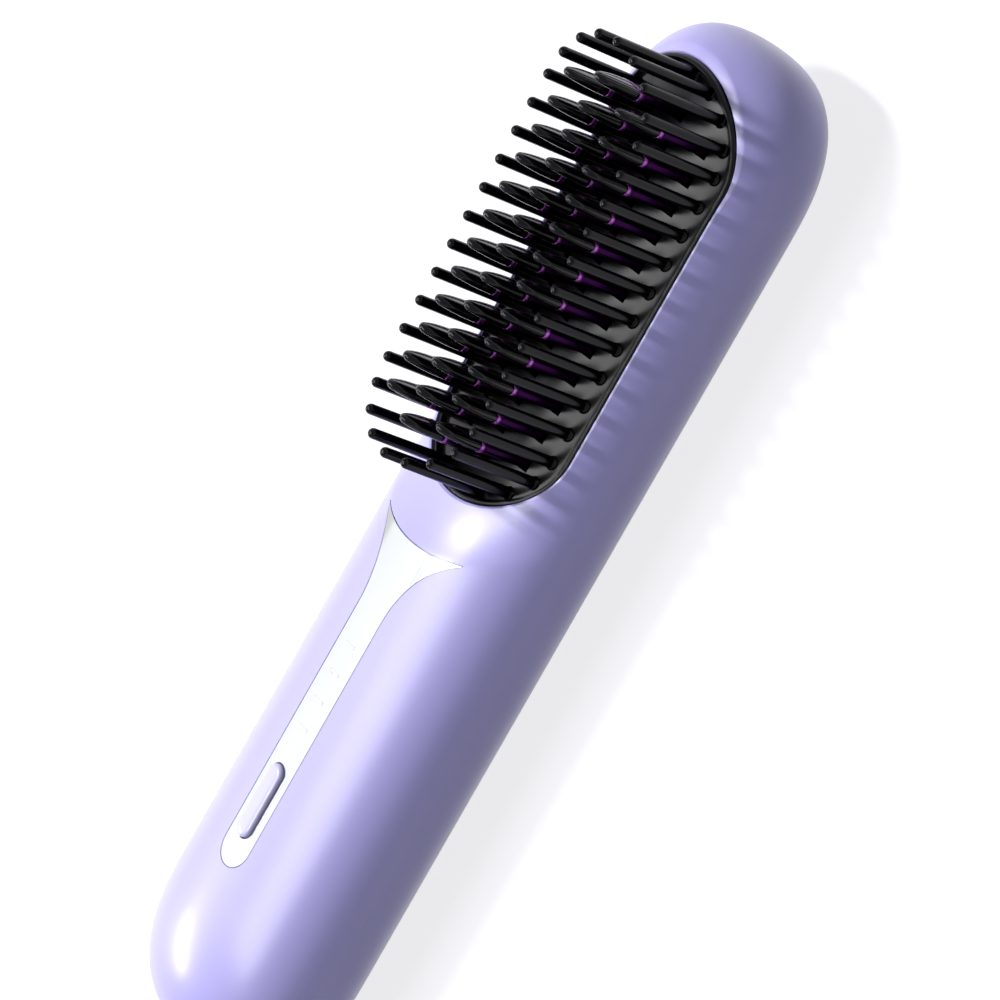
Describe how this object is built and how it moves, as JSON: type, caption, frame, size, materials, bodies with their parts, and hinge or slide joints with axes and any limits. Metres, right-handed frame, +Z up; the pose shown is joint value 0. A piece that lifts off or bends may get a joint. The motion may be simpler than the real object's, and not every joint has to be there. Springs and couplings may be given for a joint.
{
  "type": "cordless heated straightening brush",
  "caption": "Slim cordless hot comb with a bristle field at the head, a push button and a row of light bars on the handle, and a charging port in the handle's end.",
  "frame": {"origin": "under the middle of the body, on the flat along its back", "axes": "+X from the charging port to the head, +Z up along the bristles, +Y to the side"},
  "size_m": [0.216, 0.0506, 0.0493],
  "materials": {
    "lilac_shell": "glossy lilac moulding with a faint pearl sheen",
    "black_gloss": "glossy black moulding",
    "black_ring": "glossy black edge",
    "violet_metal": "dark violet anodised metal",
    "black_cap": "glossy heat-resistant black",
    "silver_strip": "bright silver plated strip",
    "lilac_button": "glossy lilac button",
    "clear_guide": "clear light guide",
    "led_white": "white diode body",
    "screw_steel": "plain bright steel",
    "heater_ceramic": "ceramic heating element",
    "pad_rubber": "soft heat pad",
    "inner_plastic": "unpainted inner moulding",
    "board_green": "green circuit board",
    "chip_black": "black package",
    "cell_wrap": "wrapped battery cell",
    "wire_red": "soft wire jacket"
  },
  "bodies": {
    "brush": {"main_housing": "lilac_shell", "rear_cover": "lilac_shell", "cover_screws": "screw_steel", "bristle_plate": "black_gloss", "seal_ring": "black_ring", "heating_comb": "violet_metal", "blade_caps": "black_cap", "heater": "heater_ceramic", "heater_pad": "pad_rubber", "heater_shield": "inner_plastic", "shield_screws": "screw_steel", "temperature_sensor": "inner_plastic", "thermal_fuse": "screw_steel", "decorative_strip": "silver_strip", "light_guide": "clear_guide", "main_board": "board_green", "leds": "led_white", "controller_chip": "chip_black", "switch_body": "chip_black", "battery_cells": "cell_wrap", "battery_cradle": "inner_plastic", "cell_links": "screw_steel", "charging_board": "board_green", "usb_shell": "screw_steel", "usb_tongue": "chip_black", "heater_wires": "wire_red", "charging_wires": "wire_red", "battery_wires": "wire_red"},
    "button": {"power_button": "lilac_button"},
    "plunger": {"switch_plunger": "inner_plastic"}
  },
  "joints": [
    {"name": "button_press", "type": "slide", "parent": "brush", "child": "button", "axis": [0, 0, -1], "range_m": [0, 0.00035], "stiffness_N_per_m": 800, "springref_m": -0.0002},
    {"name": "plunger_press", "type": "slide", "parent": "brush", "child": "plunger", "axis": [0, 0, -1], "range_m": [0, 0.00035]}
  ],
  "couplings": [
    {"joint": "plunger_press", "follows": "button_press", "ratio": 1}
  ]
}
